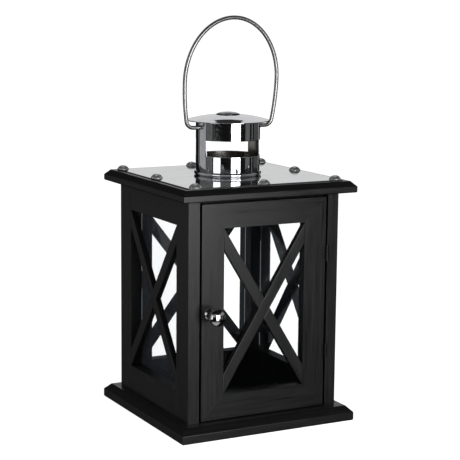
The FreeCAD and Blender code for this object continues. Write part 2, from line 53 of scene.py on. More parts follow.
# ---- dimensions shared with the CAD part, in millimetres ------------------------
TUBE_R = 27.4
TUBE_T = 0.8
PLATE_TOP = 207.0
BEAD_H = 3.8
VENT_Z = (224.2, 237.4)
PILLAR_HALF_DEG = 21.3
PIVOT_HOLE_R = 1.76
BEAD_SINK = 0.3             # how far the bead's centre lies inside the outer face
CAP_R = 35.3
CAP_TOP_Z = 258.6
CAP_RISE = 5.0
CAP_T = 0.8
CAP_EDGE_R = 0.44           # the rim of the cap is rounded over
CAP_EDGE_IN = 0.45          # about a centre this far inside it
CAP_STEPS = 160             # faces round the cap; the others below are counted alike
BUTTON_R = 10.2
BUTTON_STEPS = 96
BOLT_R = 2.5
THREAD_PITCH = 0.4
THREAD_TURNS = 13
KNOB_CENTRE_REACH = 16.0
KNOB_R = 7.1
KNOB_FACE_R = 9.5
KNOB_EDGE_R = 3.3
KNOB_NECK_R = 2.7
KNOB_ROSE_R = 4.3
KNOB_BORE_R = 1.5
KNOB_BORE_DEPTH = 7.0
KNOB_STEPS = 96
NAIL_R = 5.1
NAIL_H = 3.6
NAIL_SHANK_R = 0.8
NAIL_SHANK_L = 8.0
NAIL_STEPS = 48
NAILS = [(-68.0, 67.0), (-66.5, 0.5), (-64.2, -67.0), (-1.2, 67.0),
         (-1.5, -67.0), (66.5, -67.0), (66.5, 0.0), (69.3, 67.0)]
WIRE_R = 1.7
WIRE_STEPS = 32
BAIL_HALF_W = 43.8
BAIL_WIDE_H = 39.5
BAIL_TOP_H = 92.3
BAIL_LEG_R = 200.0
BAIL_BEND_R = 6.5
BAIL_LEAN = 4.5
BAIL_HEAD_R = 2.7
BAIL_HEAD_T = 1.3
BAIL_HEAD_X = 25.0
BAIL_SHIFT = 1.3

# ---- grid of the chimney wall's mesh ---------------------------------------------
PILLAR_CELLS = 20           # columns in one pillar between the vents
VENT_CELLS = 64             # columns across one vent
HALF_TURN_CELLS = PILLAR_CELLS + VENT_CELLS
HOLE_CELLS = 2              # a pivot hole takes the place of so many cells on each side
PIVOT_CELL = 1.02           # height of a cell there, which makes it about square
PIVOT_CELL_DEG = 2 * PILLAR_HALF_DEG / PILLAR_CELLS
LIP = 0.4                   # narrow rows along the foot and the vents keep the edges crisp
TOP_LIP = 0.3

# ---- finish -------------------------------------------------------------------
EDGE_ROUND = 0.45 * MM      # how far the sharp edges of the timber are sanded
MITRE_ROUND = 0.06 * MM     # less on the mitred door frame, whose joints are tight
WELD_GAP = 0.002 * MM       # corners closer than this are one
SHARP_DEG = 35              # edges that turn more than this are sanded
MITRED = ("door_left_stile", "door_right_stile", "door_top_rail", "door_bottom_rail")
WOOD_BLACK = (0.0010, 0.0010, 0.0011)
WOOD_STROKE = (0.0030, 0.0030, 0.0031)
WOOD_WORN = (0.030, 0.028, 0.026)
DUST_FILM = {"left_glass": 0.07, "right_glass": 0.04, "back_glass": 0.02, "door_glass": 0.01}
DUST_TINT = (0.72, 0.82, 1.0)


class Tree:
    """Short way to write one material's nodes."""

    def __init__(self, name):
        self.material = bpy.data.materials.new(name)
        self.material.use_nodes = True
        self.nodes = self.material.node_tree.nodes
        self.links = self.material.node_tree.links
        self.bsdf = self.nodes["Principled BSDF"]

    def add(self, kind, inputs=None, **settings):
        node = self.nodes.new("ShaderNode" + kind)
        for key, value in settings.items():
            setattr(node, key, value)
        for key, value in (inputs or {}).items():
            self.put(node.inputs[key], value)
        return node

    def put(self, socket, value):
        if isinstance(value, bpy.types.NodeSocket):
            self.links.new(value, socket)
        elif isinstance(value, tuple) and socket.type == "RGBA" and len(value) == 3:
            socket.default_value = (*value, 1.0)
        else:
            socket.default_value = value

    def shade(self, **values):
        for key, value in values.items():
            self.put(self.bsdf.inputs[key.replace("_", " ")], value)

    def at(self, direction, across, along, shift=(0, 0, 0)):
        """Object coordinates in cells per metre, 'along' a direction and 'across' it."""
        turn = direction.to_track_quat("Z", "Y").to_euler()
        here = self.add("TexCoord").outputs["Object"]
        scale = (1 / across, 1 / across, 1 / along)
        inputs = {"Vector": here, "Rotation": tuple(turn), "Scale": scale, "Location": shift}
        return self.add("Mapping", inputs, vector_type="TEXTURE").outputs["Vector"]

    def noise(self, vector, detail):
        inputs = {"Vector": vector, "Scale": 1.0, "Detail": detail, "Roughness": 0.55}
        return self.add("TexNoise", inputs).outputs["Fac"]

    def span(self, value, low, high, out_low=0.0, out_high=1.0):
        """Value between low and high, moved to the range between out_low and out_high."""
        inputs = {"Value": value, "From Min": low, "From Max": high,
                  "To Min": out_low, "To Max": out_high}
        return self.add("MapRange", inputs).outputs["Result"]

    def blend(self, factor, first, second):
        node = self.add("Mix", data_type="RGBA")
        self.put(node.inputs["Factor"], factor)
        self.put(node.inputs[6], first)
        self.put(node.inputs[7], second)
        return node.outputs[2]

    def times(self, first, second):
        return self.add("Math", {0: first, 1: second}, operation="MULTIPLY").outputs[0]

    def plus(self, first, second):
        return self.add("Math", {0: first, 1: second}, operation="ADD").outputs[0]

    def bump(self, height, strength, distance, normal=None):
        inputs = {"Height": height, "Strength": strength, "Distance": distance}
        if normal is not None:
            inputs["Normal"] = normal
        return self.add("Bump", inputs).outputs["Normal"]

    def edges(self, radius):
        """Mask that is 1 along convex and concave edges, 0 on flat places."""
        soft = self.add("Bevel", {"Radius": radius}, samples=4).outputs["Normal"]
        flat = self.add("NewGeometry").outputs["Normal"]
        match = self.add("VectorMath", {0: soft, 1: flat}, operation="DOT_PRODUCT")
        return self.span(match.outputs["Value"], 0.99, 0.85)


def joint_place(name):
    """Where a joint's axis passes, in metres."""
    found = [j for j in frame["joints"] if j["name"] == name][0]
    return Vector(found["pos_m"])


# ---- materials ------------------------------------------------------------------
def black_wood(direction, name):
    """Satin black paint brushed along the grain of a softwood board."""
    t = Tree(name)
    grain = t.noise(t.at(direction, 1400, 55), 4.0)
    pores = t.noise(t.at(direction, 3200, 160, (0.3, 0.1, 0.7)), 2.0)
    strokes = t.noise(t.at(direction, 760, 20, (0.7, 0.2, 0.4)), 2.0)
    cloud = t.noise(t.at(direction, 45, 30, (0.1, 0.9, 0.5)), 3.0)
    wear = t.times(t.edges(0.5 * MM), t.span(cloud, 0.42, 0.62))
    tone = t.blend(t.span(strokes, 0.35, 0.65), WOOD_BLACK, WOOD_STROKE)
    tone = t.blend(t.times(wear, 0.4), tone, WOOD_WORN)
    rough = t.plus(t.span(strokes, 0.3, 0.7, 0.30, 0.38), t.span(grain, 0.3, 0.7, -0.04, 0.06))
    fine = t.bump(t.plus(t.times(grain, 0.7), t.times(pores, 0.3)), 0.25, 0.05 * MM)
    t.shade(Base_Color=tone, Roughness=rough, Normal=t.bump(strokes, 0.5, 0.06 * MM, fine))
    return t.material


def clear_glass(name, film):
    """Float glass with a faint cold tint, a few wiped smears and a thin film of dust."""
    t = Tree(name)
    smear = t.noise(t.at(Vector((1, 1, 0.6)), 60, 12), 4.0)
    dust = t.noise(t.at(UP, 2600, 2600), 2.0)
    haze = t.plus(t.span(smear, 0.5, 0.75, 0.0, 0.03), t.span(dust, 0.66, 0.8, 0.0, 0.04))
    tint = t.blend(t.span(smear, 0.4, 0.7), (0.985, 0.99, 0.995), (0.965, 0.975, 0.985))
    t.shade(Base_Color=tint, Roughness=haze, IOR=1.5, Transmission_Weight=1.0,
            Sheen_Weight=film, Sheen_Roughness=0.6, Sheen_Tint=DUST_TINT)
    return t.material


def chrome(name, light, dark):
    """Polished plated metal with hairline scratches and a little tarnish."""
    t = Tree(name)
    lines = t.noise(t.at(UP, 150, 5200), 2.0)
    spots = t.noise(t.at(UP, 170, 170), 4.0)
    hair = t.noise(t.at(Vector((0.8, 0.3, 0.5)), 5200, 160, (0.2, 0.6, 0.1)), 1.0)
    tone = t.blend(t.span(spots, 0.4, 0.75), light, dark)
    rough = t.plus(t.span(lines, 0.35, 0.7, 0.035, 0.075), t.span(spots, 0.55, 0.8, 0.0, 0.05))
    rough = t.plus(rough, t.span(hair, 0.70, 0.78, 0.0, 0.08))
    t.shade(Base_Color=tone, Roughness=rough, Metallic=1.0,
            Normal=t.bump(lines, 0.10, 0.01 * MM))
    return t.material


def steel_plate():
    """Bright sheet steel, rolled in one direction, with fine random scratches."""
    t = Tree("polished_steel_plate")
    rolled = t.noise(t.at(Vector((1, 0, 0)), 4200, 40), 2.0)
    cloud = t.noise(t.at(UP, 55, 55), 4.0)
    hair = t.noise(t.at(Vector((0.5, 1, 0)), 3600, 70, (0.2, 0.6, 0.1)), 1.0)
    tone = t.blend(t.span(cloud, 0.35, 0.7), (0.80, 0.81, 0.825), (0.72, 0.73, 0.745))
    rough = t.plus(t.span(rolled, 0.3, 0.7, 0.05, 0.10), t.span(cloud, 0.5, 0.8, 0.0, 0.05))
    rough = t.plus(rough, t.span(hair, 0.70, 0.8, 0.0, 0.12))
    t.shade(Base_Color=tone, Roughness=rough, Metallic=1.0,
            Normal=t.bump(rolled, 0.06, 0.01 * MM))
    return t.material


def worked_metal(name, light, dark, rough_low, rough_high, dents=0.2, worn=None, size=1.0,
                 depth=0.08):
    """Small ironmongery: mottled plating with dents, and worn edges where a tone is given."""
    t = Tree(name)
    spots = t.noise(t.at(UP, 700 / size, 700 / size), 4.0)
    fine = t.noise(t.at(UP, 4200 / size, 4200 / size, (0.4, 0.4, 0.1)), 2.0)
    tone = t.blend(t.span(spots, 0.35, 0.7), light, dark)
    if worn is not None:
        rubbed = t.times(t.edges(0.25 * MM), t.span(fine, 0.35, 0.6))
        tone = t.blend(rubbed, tone, worn)
    rough = t.plus(t.span(spots, 0.3, 0.7, rough_low, rough_high), t.span(fine, 0.3, 0.7, 0, 0.06))
    t.shade(Base_Color=tone, Roughness=rough, Metallic=1.0,
            Normal=t.bump(spots, dents, depth * MM))
    return t.material


# ---- mesh building ---------------------------------------------------------------
def piece(name, mesh_builder, material, body, slot, *replaced, lining=None, even=True):
    """New smooth mesh object that stands for the CAD nodes it replaces.

    A second material, the lining, goes on the faces whose material index is 1.
    """
    bm = bmesh.new()
    mesh_builder(bm)
    bmesh.ops.recalc_face_normals(bm, faces=bm.faces)
    mesh = bpy.data.meshes.new(name)
    bm.to_mesh(mesh)
    bm.free()
    mesh.polygons.foreach_set("use_smooth", [True] * len(mesh.polygons))
    mesh.materials.append(material)
    if lining is not None:
        mesh.materials.append(lining)
    obj = bpy.data.objects.new(name, mesh)
    bpy.context.scene.collection.objects.link(obj)
    if even:
        weigh = obj.modifiers.new("even_normals", "WEIGHTED_NORMAL")
        weigh.keep_sharp = False
    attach(obj, body)
    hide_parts(*replaced)


def arc(centre, radius, start, stop, count):
    """Points (r, z) on an arc in the profile plane, angles in degrees from the +r axis."""
    angles = [math.radians(start + (stop - start) * i / count) for i in range(count + 1)]
    return [(centre[0] + radius * math.cos(a), centre[1] + radius * math.sin(a)) for a in angles]


def lathe(bm, profile, place, steps, closed=False):
    """Turns a profile of (r, z) points in millimetres about the local Z axis."""
    rings = []
    for r, z in profile:
        if r < 1e-6:
            rings.append([bm.verts.new(place @ Vector((0, 0, z * MM)))])
            continue
        turns = [2 * math.pi * k / steps for k in range(steps)]
        rings.append([bm.verts.new(place @ (Vector((r * math.cos(a), r * math.sin(a), z)) * MM))
                      for a in turns])
    pairs = list(zip(rings, rings[1:]))
    if closed:
        pairs.append((rings[-1], rings[0]))
    for low, high in pairs:
        skin(bm, low, high, steps)


def skin(bm, low, high, steps):
    """Faces between two rings, either of which may be a single point."""
    for k in range(steps):
        n = (k + 1) % steps
        if len(low) == 1 and len(high) == 1:
            return
        if len(low) == 1:
            bm.faces.new((low[0], high[k], high[n]))
        elif len(high) == 1:
            bm.faces.new((low[k], low[n], high[0]))
        else:
            bm.faces.new((low[k], low[n], high[n], high[k]))


# ---- chimney ---------------------------------------------------------------------
def tube_columns():
    """Angles that split the wall so that the pillars and the vents are whole cells."""
    angles = []
    for middle in (0, 180):
        start, stop = middle - PILLAR_HALF_DEG, middle + PILLAR_HALF_DEG
        last = middle + 180 - PILLAR_HALF_DEG
        angles += [start + (stop - start) * i / PILLAR_CELLS for i in range(PILLAR_CELLS)]
        angles += [stop + (last - stop) * i / VENT_CELLS for i in range(VENT_CELLS)]
    return angles


def tube_rows(pivot):
    """Heights that split the wall, and the first rows of the vents and of the pivot holes."""
    lo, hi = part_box("chimney_tube")
    low, high = lo.z / MM, hi.z / MM
    vent_low, vent_high = VENT_Z
    heights = [low, low + LIP, PLATE_TOP, PLATE_TOP + BEAD_H, vent_low - LIP]
    vent_row = len(heights)
    heights += [vent_low, vent_high, vent_high + LIP]
    hole_row = len(heights)
    heights += [pivot + PIVOT_CELL * step for step in range(-HOLE_CELLS, HOLE_CELLS + 1)]
    return heights + [high - TOP_LIP, high], vent_row, hole_row


def tube_point(radius, angle, z, pivot):
    """Point of the wall in millimetres; the cells next to a pivot hole end on its circle."""
    x, y = radius * math.cos(math.radians(angle)), radius * math.sin(math.radians(angle))
    turn = (angle + 90) % 180 - 90      # from the nearer end of the pivot's axis
    reach = max(abs(turn) / PIVOT_CELL_DEG, abs(z - pivot) / PIVOT_CELL)
    if abs(reach - HOLE_CELLS) < 0.01:
        shrink = PIVOT_HOLE_R / math.hypot(y, z - pivot)
        y, z = y * shrink, pivot + (z - pivot) * shrink
        x = math.copysign(math.sqrt(radius ** 2 - y ** 2), x)
    return Vector((x, y, z)) * MM


def build_tube(bm):
    """Rolled wall with two vents, two pivot holes, a lining and a bead round its foot."""
    pivot = joint_place("handle_pivot").z / MM
    angles = tube_columns()
    heights, vent_row, hole_row = tube_rows(pivot)
    count = len(angles)
    hole_rows = range(hole_row, hole_row + 2 * HOLE_CELLS)
    hole_columns = range(PILLAR_CELLS // 2 - HOLE_CELLS, PILLAR_CELLS // 2 + HOLE_CELLS)

    def ring(radius):
        return [[bm.verts.new(tube_point(radius, a, z, pivot)) for a in angles]
                for z in heights]

    outer, inner = ring(TUBE_R), ring(TUBE_R - TUBE_T)

    def solid(row, column):
        if row < 0 or row >= len(heights) - 1:
            return False
        column %= HALF_TURN_CELLS
        if row in hole_rows and column in hole_columns:
            return False
        return row != vent_row or column < PILLAR_CELLS

    for row in range(len(heights) - 1):
        for k in range(count):
            n = (k + 1) % count
            if not solid(row, k):
                continue
            bm.faces.new((outer[row][k], outer[row][n], outer[row + 1][n], outer[row + 1][k]))
            lining = bm.faces.new((inner[row][n], inner[row][k],
                                   inner[row + 1][k], inner[row + 1][n]))
            lining.material_index = 1
            if not solid(row - 1, k):
                bm.faces.new((outer[row][n], outer[row][k], inner[row][k], inner[row][n]))
            if not solid(row + 1, k):
                bm.faces.new((outer[row + 1][k], outer[row + 1][n],
                              inner[row + 1][n], inner[row + 1][k]))
            if not solid(row, (k - 1) % count):
                bm.faces.new((outer[row][k], outer[row + 1][k],
                              inner[row + 1][k], inner[row][k]))
            if not solid(row, n):
                bm.faces.new((outer[row + 1][n], outer[row][n],
                              inner[row][n], inner[row + 1][n]))
    loose = [v for v in bm.verts if not v.link_faces]
    bmesh.ops.delete(bm, geom=loose, context="VERTS")

    bead_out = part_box("chimney_tube")[1].x / MM - TUBE_R
    half = BEAD_H / 2
    centre_r, centre_z = TUBE_R - BEAD_SINK, PLATE_TOP + half
    bead = [(centre_r + (bead_out + BEAD_SINK) * math.cos(a), centre_z + half * math.sin(a))
            for a in [math.radians(-90 + 15 * i) for i in range(13)]]
    bead.append((TUBE_R - TUBE_T / 2, centre_z))
    lathe(bm, bead, Matrix.Identity(4), 2 * HALF_TURN_CELLS, closed=True)


def cap_dome(radius, t):
    """Height of the cap's outer (t = 0) or inner (t = CAP_T) face at a radius."""
    big = (CAP_R ** 2 + CAP_RISE ** 2) / (2 * CAP_RISE)
    return CAP_TOP_Z - big + math.sqrt((big - t) ** 2 - radius ** 2)


def build_cap(bm):
    """Shallow pressed dome with a rolled rim."""
    rim = CAP_R - CAP_EDGE_IN
    radii = [BOLT_R + (rim - BOLT_R) * i / 24 for i in range(25)]
    top = [(r, cap_dome(r, 0)) for r in radii]
    under = [(r, cap_dome(r, CAP_T)) for r in reversed(radii)]
    centre = (rim, (top[-1][1] + under[0][1]) / 2)
    profile = top + arc(centre, CAP_EDGE_R, 60, -60, 8) + under
    lathe(bm, profile, Matrix.Identity(4), CAP_STEPS, closed=True)


def build_button(bm):
    """Low domed head on a threaded bolt."""
    lo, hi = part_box("cap_button")
    top, low = hi.z / MM, lo.z / MM
    seat = cap_dome(BUTTON_R, 0) - 0.05
    crest, root = BOLT_R - 0.02, BOLT_R - 0.35
    profile = [(0, low), (BOLT_R - 0.5, low), (BOLT_R - 0.1, low + THREAD_PITCH)]
    for turn in range(THREAD_TURNS):
        z = low + THREAD_PITCH + THREAD_PITCH * turn
        profile += [(root, z + THREAD_PITCH / 2), (crest, z + THREAD_PITCH)]
    profile += [(crest, seat - 0.6), (BOLT_R + 0.2, seat + 0.1), (BUTTON_R - 0.3, seat)]
    for i in range(25):
        a = math.pi / 2 * i / 24
        profile.append((BUTTON_R * math.cos(a), seat + (top - seat) * math.sin(a)))
    profile[-1] = (0, top)
    lathe(bm, profile, Matrix.Identity(4), BUTTON_STEPS)


# ---- knob and nails ---------------------------------------------------------------
def build_knob(bm):
    """Turned knob: a rose, a slender neck and a round head with two flatter faces."""
    lo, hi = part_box("door_knob")
    middle = (lo + hi) / 2
    place = Matrix.Translation((middle.x, hi.y, middle.z)) @ Matrix.Rotation(math.pi / 2, 4, "X")
    c = KNOB_CENTRE_REACH
    gap = math.sqrt((KNOB_FACE_R - KNOB_EDGE_R) ** 2 - (KNOB_R - KNOB_EDGE_R) ** 2)
    lean = math.degrees(math.atan2(KNOB_R - KNOB_EDGE_R, gap))
    root = math.degrees(math.asin((KNOB_NECK_R + 0.5) / KNOB_FACE_R))
    # bore for the screw, rose, neck, then the head's back face, edge and front face
    profile = [(0, KNOB_BORE_DEPTH), (KNOB_BORE_R, KNOB_BORE_DEPTH), (KNOB_BORE_R, 0)]
    profile += [(KNOB_ROSE_R - 0.25, 0)]
    profile += arc((KNOB_ROSE_R - 0.25, 0.25), 0.25, -90, 0, 4)
    profile += arc((KNOB_ROSE_R - 0.3, 1.1), 0.3, 0, 70, 5)
    profile += [(KNOB_NECK_R + 0.75, 2.1), (KNOB_NECK_R + 0.3, 3.1), (KNOB_NECK_R + 0.05, 4.2)]
    profile += [(KNOB_NECK_R, 5.2), (KNOB_NECK_R + 0.1, 6.2), (KNOB_NECK_R + 0.35, 6.9)]
    profile += arc((0, c + gap), KNOB_FACE_R, -90 + root, -90 + lean, 14)
    profile += arc((KNOB_R - KNOB_EDGE_R, c), KNOB_EDGE_R, lean - 90, 90 - lean, 24)[1:]
    profile += arc((0, c - gap), KNOB_FACE_R, 90 - lean, 90, 24)[1:-1]
    profile += [(0, c - gap + KNOB_FACE_R)]
    lathe(bm, profile, place, KNOB_STEPS)


def build_nails(bm):
    """Dome heads on plain shanks."""
    sphere_r = (NAIL_R ** 2 + NAIL_H ** 2) / (2 * NAIL_H)
    centre = NAIL_H - sphere_r
    start = math.degrees(math.asin(-centre / sphere_r))
    profile = [(0, -NAIL_SHANK_L), (NAIL_SHANK_R * 0.5, -NAIL_SHANK_L + 0.6)]
    profile += [(NAIL_SHANK_R, -NAIL_SHANK_L + 1.6), (NAIL_SHANK_R, 0), (NAIL_R - 0.2, 0)]
    profile += arc((NAIL_R - 0.2, 0.2), 0.2, -90, 0, 4)
    profile += arc((0, centre), sphere_r, start + 6, 90, 20)[:-1] + [(0, NAIL_H)]
    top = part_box("roof_nails")[1].z - NAIL_H * MM
    for x, y in NAILS:
        lathe(bm, profile, Matrix.Translation((x * MM, y * MM, top)), NAIL_STEPS)


# ---- wire handle -------------------------------------------------------------------
def bail_right_half():
    """Centreline from the pivot to the top of the loop, (x, height) from the pivot.

    The slope where the bend at the foot meets the leg's wide arc comes from a few rounds of
    substitution.
    """
    lean = 0.2
    for _ in range(30):
        rise = BAIL_BEND_R * (1 - math.sin(lean))
        lean = math.asin((BAIL_WIDE_H - rise) / BAIL_LEG_R)
    leg_x = BAIL_HALF_W - BAIL_LEG_R
    foot = (leg_x + math.cos(lean) * BAIL_LEG_R, BAIL_WIDE_H - math.sin(lean) * BAIL_LEG_R)
    bend = (foot[0] - math.cos(lean) * BAIL_BEND_R, foot[1] + math.sin(lean) * BAIL_BEND_R)
    slope = math.degrees(lean)
    points = [(BAIL_HEAD_X + (bend[0] - BAIL_HEAD_X) * i / 10, 0) for i in range(10)]
    points += arc(bend, BAIL_BEND_R, -90, -slope, 20)
    points += arc((leg_x, BAIL_WIDE_H), BAIL_LEG_R, -slope, 0, 24)[1:]
    reach = BAIL_TOP_H - BAIL_WIDE_H
    for i in range(1, 49):
        a = math.pi / 2 * i / 48
        points.append((BAIL_HALF_W * math.cos(a), BAIL_WIDE_H + reach * math.sin(a)))
    return points


def build_bail(bm):
    """Wire swept along its centreline, with a small upset head at each end."""
    right = bail_right_half()
    left = [(-x, z) for x, z in reversed(right[:-1])]
    line = [Vector((x, 0, z)) for x, z in right + left]
    head = [(0.0, BAIL_HEAD_R - 0.5), (0.12, BAIL_HEAD_R - 0.2), (0.4, BAIL_HEAD_R),
            (BAIL_HEAD_T - 0.35, BAIL_HEAD_R), (BAIL_HEAD_T - 0.1, BAIL_HEAD_R - 0.15),
            (BAIL_HEAD_T, BAIL_HEAD_R - 0.4), (BAIL_HEAD_T + 0.02, WIRE_R)]
    inner = BAIL_HEAD_X - BAIL_HEAD_T
    head_line = [Vector((inner + depth, 0, 0)) for depth, _ in head]
    radii = [r for _, r in head] + [WIRE_R] * len(line) + [r for _, r in reversed(head)]
    line = head_line + line + [Vector((-p.x, 0, 0)) for p in reversed(head_line)]
    pivot = joint_place("handle_pivot")
    place = (Matrix.Translation(pivot) @ Matrix.Rotation(math.radians(BAIL_LEAN), 4, "X")
             @ Matrix.Translation((BAIL_SHIFT * MM, 0, 0)))
    turns = [2 * math.pi * k / WIRE_STEPS for k in range(WIRE_STEPS)]
    rings = []
    for i, centre in enumerate(line):
        before, after = line[max(i - 1, 0)], line[min(i + 1, len(line) - 1)]
        run = (after - before).normalized()
        side = Vector((0, 1, 0))
        out = run.cross(side)
        rings.append([bm.verts.new(place @ ((centre + (side * math.cos(a) + out * math.sin(a))
                                             * radii[i]) * MM)) for a in turns])
    for low, high in zip(rings, rings[1:]):
        skin(bm, low, high, WIRE_STEPS)
    bm.faces.new(rings[0])
    bm.faces.new(rings[-1])


# ---- finishes on the CAD nodes -------------------------------------------------------
def finish_node(name, material):
    """Puts one material on every slot of a CAD node."""
    for slot in NODES[name].material_slots:
        slot.material = material


def bar_direction(name):
    """Unit vector along a crossed bar, from the shape of its box."""
    lo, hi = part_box(name)
    size = hi - lo
    rise = 1 if "rising" in name else -1
    if size.y > size.x:
        return Vector((0, size.y, rise * size.z)).normalized()
    return Vector((size.x, 0, rise * size.z)).normalized()


def grain_direction(name):
    """Unit vector along a piece of timber; the two square boards run from side to side."""
    if "_bar_" in name:
        return bar_direction(name)
    lo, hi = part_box(name)
    size = hi - lo
    longest = max(range(3), key=lambda i: size[i])
    if name in ("base_board", "roof_board"):
        longest = 0
    return Vector([1.0 if i == longest else 0.0 for i in range(3)])


def paint_wood():
    """Paints and sands each piece of timber; pieces with the same grain share a material."""
    made = {}
    for name, node in sorted(NODES.items()):
        if node.material_slots[0].name != "black_wood":
            continue
        direction = grain_direction(name)
        key = tuple(round(c, 2) for c in direction)
        if key not in made:
            made[key] = black_wood(direction, "black_wood_%d" % len(made))
        finish_node(name, made[key])
        round_edges(node, MITRE_ROUND if name in MITRED else EDGE_ROUND)


def round_edges(obj, width):
    """Joins the split corners of the node's mesh and takes the sharpness off its edges."""
    weld = obj.modifiers.new("join", "WELD")
    weld.merge_threshold = WELD_GAP
    bevel = obj.modifiers.new("sanded_edges", "BEVEL")
    bevel.width = width
    bevel.segments = 3
    bevel.limit_method = "ANGLE"
    bevel.angle_limit = math.radians(SHARP_DEG)
    bevel.use_clamp_overlap = True
    weigh = obj.modifiers.new("even_normals", "WEIGHTED_NORMAL")
    weigh.keep_sharp = False


def finish_metal_and_glass():
    for name, film in DUST_FILM.items():
        finish_node(name, clear_glass("clear_" + name, film))
    finish_node("roof_plate", steel_plate())
    zinc = worked_metal("zinc_plated_steel", (0.52, 0.53, 0.54), (0.34, 0.35, 0.36), 0.25, 0.42)
    for name in ("base_screws", "roof_screws", "cap_nut", "cap_strap", "knob_screw",
                 "strike_plate", "strike_screw"):
        finish_node(name, zinc)
    hinge = worked_metal("blackened_hinge_steel", (0.022, 0.022, 0.024), (0.010, 0.010, 0.011),
                         0.28, 0.42, worn=(0.04, 0.04, 0.04))
    for name in NODES:
        if "hinge" in name:
            finish_node(name, hinge)
    finish_node("catch_magnet", worked_metal("nickel_magnet", (0.40, 0.39, 0.37),
                                             (0.26, 0.25, 0.24), 0.18, 0.32))


def build_metalwork():
    spun = chrome("spun_chrome", (0.80, 0.81, 0.83), (0.70, 0.71, 0.73))
    drawn = worked_metal("drawn_chrome_wire", (0.33, 0.326, 0.32), (0.27, 0.267, 0.262),
                         0.30, 0.33, dents=0.05, size=14.0)
    dark = chrome("dark_chrome_knob", (0.68, 0.68, 0.68), (0.58, 0.58, 0.585))
    nickel = chrome("dark_nickel_button", (0.26, 0.26, 0.27), (0.18, 0.18, 0.19))
    nails = worked_metal("gunmetal", (0.95, 0.95, 0.95), (0.45, 0.45, 0.46), 0.24, 0.42,
                         dents=1.0, worn=(0.7, 0.7, 0.7), size=1.3, depth=0.25)
    satin = worked_metal("satin_steel_lining", (0.44, 0.425, 0.40), (0.30, 0.29, 0.275),
                         0.16, 0.24, dents=0.05)
    piece("chimney_wall", build_tube, spun, "lantern", "polished_chrome", "chimney_tube",
          lining=satin)
    piece("chimney_dome_cap", build_cap, spun, "lantern", "polished_chrome", "chimney_cap")
    piece("cap_screw_button", build_button, nickel, "lantern", "polished_chrome", "cap_button")
    piece("dome_nails", build_nails, nails, "lantern", "gunmetal_nail", "roof_nails")
    piece("turned_knob", build_knob, dark, "door", "polished_chrome", "door_knob")
    piece("wire_bail", build_bail, drawn, "handle", "polished_chrome", "bail_handle", even=False)


# ---- studio ---------------------------------------------------------------------------
CAMERA_AZ = -27.865          # degrees; 0 looks at the door square on
CAMERA_EL = 9.396
CAMERA_ROLL = 0.546
CAMERA_DISTANCE = 1.250973
CAMERA_AIM = (0.002596, 0.158418)
CAMERA_LENS = 113.618
CAMERA_SENSOR = 36.0


def toward(az, el):
    """Unit vector from the lantern to a place in the studio; 0, 0 is in front of the door."""
    a, e = math.radians(az), math.radians(el)
    return Vector((math.sin(a) * math.cos(e), -math.cos(a) * math.cos(e), math.sin(e)))


def make_camera():
    """Camera solved from the object's straight edges, aimed a little off its axis."""
    back = toward(CAMERA_AZ, CAMERA_EL)
    right = UP.cross(back).normalized()
    up = back.cross(right)
    roll = math.radians(CAMERA_ROLL)
    x_axis = right * math.cos(roll) + up * math.sin(roll)
    y_axis = up * math.cos(roll) - right * math.sin(roll)
    aside, height = CAMERA_AIM
    place = Vector((0, 0, height)) + right * aside + back * CAMERA_DISTANCE
    data = bpy.data.cameras.new("camera")
    data.sensor_width = CAMERA_SENSOR
    data.lens = CAMERA_LENS
    camera = bpy.data.objects.new("camera", data)
    matrix = Matrix((x_axis, y_axis, back)).transposed().to_4x4()
    matrix.translation = place
    camera.matrix_world = matrix
    bpy.context.scene.collection.objects.link(camera)
    bpy.context.scene.camera = camera


def softbox(name, az, distance, z_range, width, power):
    """Upright rectangular light that faces the lantern."""
    low, high = z_range
    facing = toward(az, 0)
    data = bpy.data.lights.new(name, "AREA")
    data.shape = "RECTANGLE"
    data.size = width
    data.size_y = high - low
    data.energy = power
    light = bpy.data.objects.new(name, data)
    centre = facing * distance + UP * (low + high) / 2
    turn = facing.to_track_quat("Z", "Y").to_matrix().to_4x4()
    light.matrix_world = Matrix.Translation(centre) @ turn
    light.visible_camera = False
    light.visible_transmission = False
    bpy.context.scene.collection.objects.link(light)


